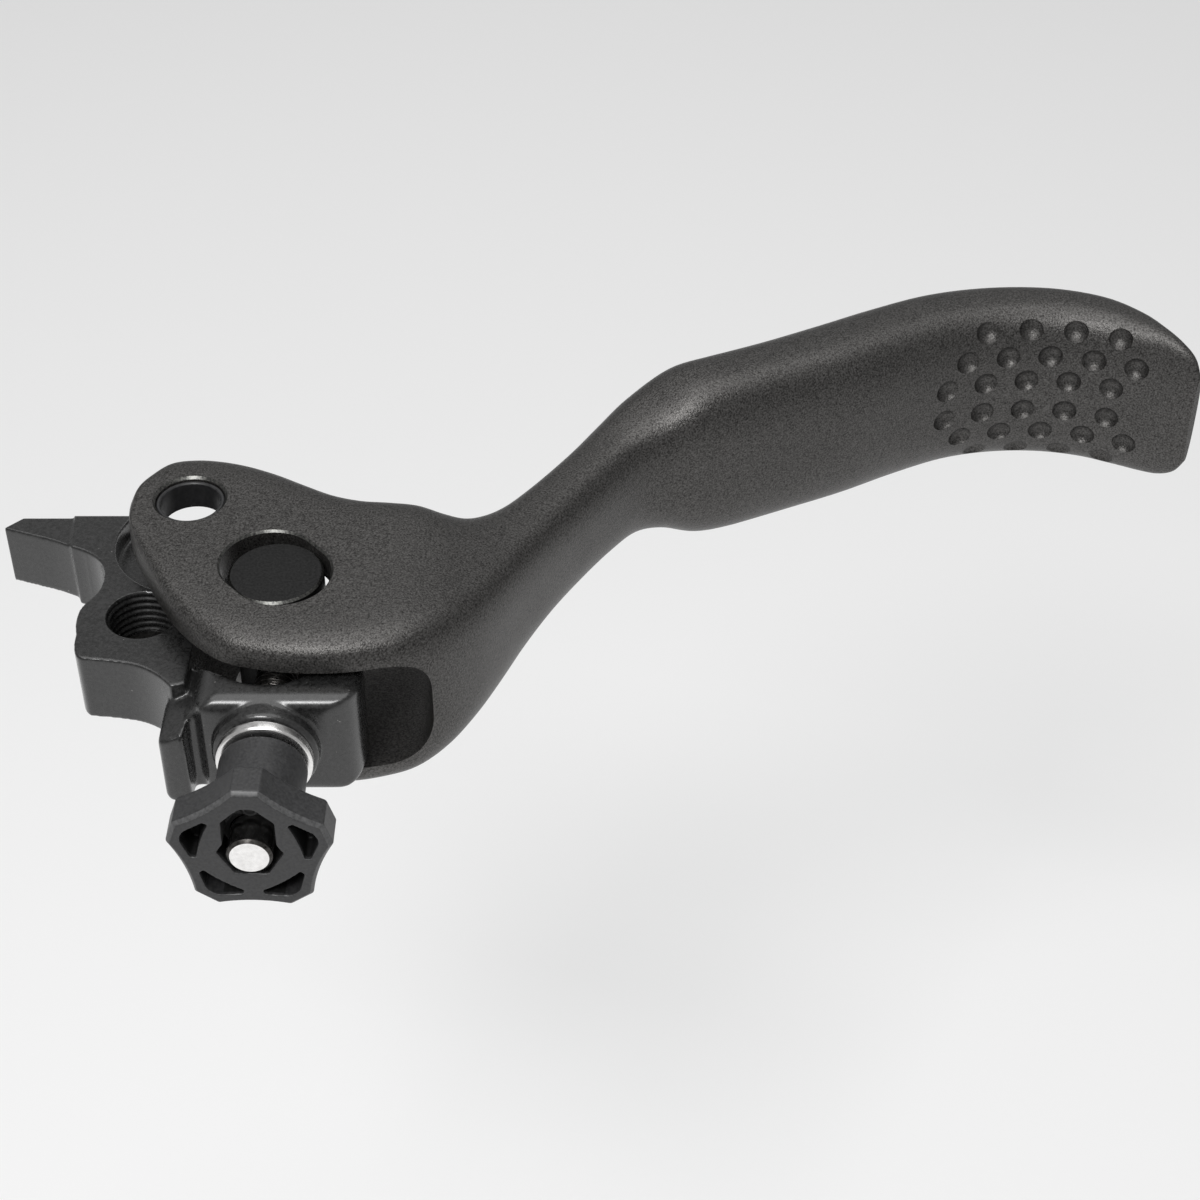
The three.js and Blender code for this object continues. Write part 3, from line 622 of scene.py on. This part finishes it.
def adjuster_rod():
    tip, thread_from, depth = 0.28, -20.5, 0.32
    rings = [at_y(circle(r, 64, ROD_X), y)
             for r, y in ((ROD_R - tip, ROD_TIP_Y), (ROD_R, ROD_TIP_Y + tip), (ROD_R, thread_from))]
    rings += threaded_rings(thread_from + 0.1, ROD_TAIL_Y - 0.5, ROD_R - depth, ROD_R, THREAD_PITCH,
                            lambda a, b, h: (ROD_X + a, h, b))
    rings.append(at_y(circle(ROD_R - 0.5, 64, ROD_X), ROD_TAIL_Y))
    rod = fit(shade(stack("adjuster_rod_body", rings), 40), "knob", "bright", BRIGHT, "adjuster_rod")
    second_material(rod, DARK_THREAD, lambda c, n: c.y > thread_from or 0.3 < abs(n.y) < 0.9)


def barrel_nut():
    bevel, bore = 0.22, ROD_R + RUNNING_GAP
    profile = [(NUT_R - bevel, -NUT_HALF), (NUT_R, -NUT_HALF + bevel), (NUT_R, NUT_HALF - bevel),
               (NUT_R - bevel, NUT_HALF)]
    nut = turned_z("barrel_nut_turned", profile, ROD_X, NUT_Y)
    cut(nut, turned_rod("nut_bore", [(bore, -FAR), (bore, FAR)]))
    fit(shade(nut), "nut", "nut", BARREL, "barrel_nut")
    # The bevels at the nut's ends: bare metal, lighter also as a painted highlight.
    second_material(nut, BARE_EDGE_HIGHLIGHT, lambda c, n: 0.3 < abs(n.z) < 0.9 and abs(c.z) > NUT_HALF - 1)


def lobed(tip_r, valley_r, steps=10):
    """The knob's outline about its own axis, first lobe along +x."""
    step, half = 2 * math.pi / KNOB_LOBES, KNOB_TIP_HALF_ANGLE
    corner = tip_r / math.cos(half)
    polar = lambda radius, angle: (radius * math.cos(angle), radius * math.sin(angle))
    points = []
    for lobe in range(KNOB_LOBES):
        middle = lobe * step
        if lobe == 0:
            points.append(polar(corner, middle - half))
        points.append(polar(corner, middle + half))
        control = polar(2 * valley_r - corner * math.cos(step / 2 - half), middle + step / 2)
        points.append((*polar(corner, middle + step - half), *control))
    return curve(points, steps)


def on_knob(outline, turn):
    """Turns an outline about the knob's axis and moves it onto the rod, as (x, z)."""
    c, s = math.cos(turn), math.sin(turn)
    return [(ROD_X + x * c - y * s, x * s + y * c) for x, y in outline]


def adjuster_knob():
    back, edge = KNOB_FACE_Y + KNOB_HEAD, 0.35
    levels = [(KNOB_FACE_Y, -edge), (KNOB_FACE_Y + edge, 0), (back - edge, 0), (back, -edge)]
    knob = stack("knob_body", [
        at_y(on_knob(lobed(KNOB_TIP_R + grow, KNOB_VALLEY_R + grow), KNOB_TOP_LOBE), y)
        for y, grow in levels])
    neck, neck_end = KNOB_NECK_R, COLLAR_FACE_Y - BUSH_FLANGE - 0.35
    join(knob, turned_rod("neck", [(neck + 0.25, back - 0.5), (neck + 0.2, back + 0.4), (neck, back + 2.0),
                                   (neck, neck_end - 0.25), (neck - 0.25, neck_end)]))
    floor_y = KNOB_FACE_Y + KNOB_POCKET_DEPTH
    socket = on_knob(circle(KNOB_SOCKET_R, 6, start=math.pi / 6), KNOB_TOP_LOBE)
    cut(knob, prism_y("hub_socket", socket, -FAR, floor_y + 0.6))
    arch = curve([(0.3, -2.3), (3.6, -2.3), (5.0, -0.9), (5.0, 0.9, 5.6, 0), (3.6, 2.3), (0.3, 2.3)])
    pocket = curve([(4.25, -2.1), (4.75, -2.2), (6.0, -0.7), (6.0, 0.7, 6.3, 0.0), (4.75, 2.2),
                    (4.25, 2.1), (4.25, -2.1, 4.6, 0)])
    for lobe in range(KNOB_LOBES):
        shape, depth = (arch, 0.0) if lobe == 0 else (pocket, 0.5)
        turn = KNOB_TOP_LOBE + lobe * 2 * math.pi / KNOB_LOBES
        cut(knob, prism_y("pocket", on_knob(shape, turn), -FAR, floor_y + depth))
    # A round moulding-gate mark on the floor of the arched pocket.
    gate_x, gate_z = on_knob([(3.3, 0.0)], KNOB_TOP_LOBE)[0]
    join(knob, prism_y("gate", circle(0.75, 48, gate_x, gate_z), floor_y - 0.25, floor_y + 0.5))
    cut(knob, prism_y("gate_dish", circle(0.5, 48, gate_x, gate_z), floor_y - 1, floor_y - 0.08))
    soften(knob, 0.1, 5)
    bore = ROD_R + PRESS_GAP
    cut(knob, turned_rod("knob_bore", [(bore, -FAR), (bore, 0)]))
    fit(shade(knob, 40), "knob", "knob", MOULDED, "adjuster_knob")

    def in_pocket(c, n):
        return (KNOB_FACE_Y + 0.4 < c.y < floor_y + 0.8
                and math.hypot(c.x - ROD_X, c.z) < KNOB_VALLEY_R - 0.3)

    # Painted shade on the faces inside the pockets.
    second_material(knob, MOULDED_POCKET_SHADE, in_pocket)
    # Painted highlight on the rounded edges of the front face and pockets.
    second_material(knob, MOULDED_EDGE_HIGHLIGHT, lambda c, n: c.y < KNOB_FACE_Y + 0.4 and -0.93 < n.y < -0.3)


blade()
pivot_liner(1, "pivot_bush_upper")
pivot_liner(-1, "pivot_bush_lower")
link_arm()
eye_liner()
set_screw()
rod_bush()
friction_ring()
retaining_clip()
adjuster_rod()
barrel_nut()
adjuster_knob()

# ---- floor, light and camera ----------------------------------------------------------------

FLOOR_Z = -0.2
bpy.ops.mesh.primitive_plane_add(size=6, location=(0, 0, FLOOR_Z))
floor = bpy.context.object
floor.name = "floor"
paper = bpy.data.materials.new("paper")
paper.use_nodes = True
paper.node_tree.nodes["Principled BSDF"].inputs["Base Color"].default_value = (0.93, 0.93, 0.93, 1)
paper.node_tree.nodes["Principled BSDF"].inputs["Roughness"].default_value = 0.9
floor.data.materials.append(paper)

world = bpy.data.worlds.new("studio")
world.use_nodes = True
world.node_tree.nodes["Background"].inputs["Color"].default_value = (1, 1, 1, 1)
world.node_tree.nodes["Background"].inputs["Strength"].default_value = 0.35
bpy.context.scene.world = world


def softbox(name, place, target, width, height, power):
    data = bpy.data.lights.new(name, "AREA")
    data.shape, data.size, data.size_y, data.energy = "RECTANGLE", width, height, power
    lamp = bpy.data.objects.new(name, data)
    lamp.location = place
    lamp.rotation_euler = (Vector(target) - Vector(place)).to_track_quat("-Z", "Y").to_euler()
    bpy.context.scene.collection.objects.link(lamp)


softbox("overhead", (0.0, 0.15, 1.1), (0.04, 0.0, 0.0), 1.2, 1.2, 7.8)
softbox("key", (-0.08, -0.36, 0.50), (0.04, 0.0, 0.0), 0.20, 0.16, 2.2)
bpy.context.scene.view_settings.view_transform = "Standard"

camera = bpy.data.objects.new("camera", bpy.data.cameras.new("camera"))
camera.location = (0.0394, -0.17788, 0.14549)
camera.rotation_euler = (math.radians(50), 0, 0)
camera.data.lens = 69.93
camera.data.sensor_width = 36
camera.data.clip_start = 0.005
bpy.context.scene.collection.objects.link(camera)
bpy.context.scene.camera = camera

bpy.context.view_layer.update()
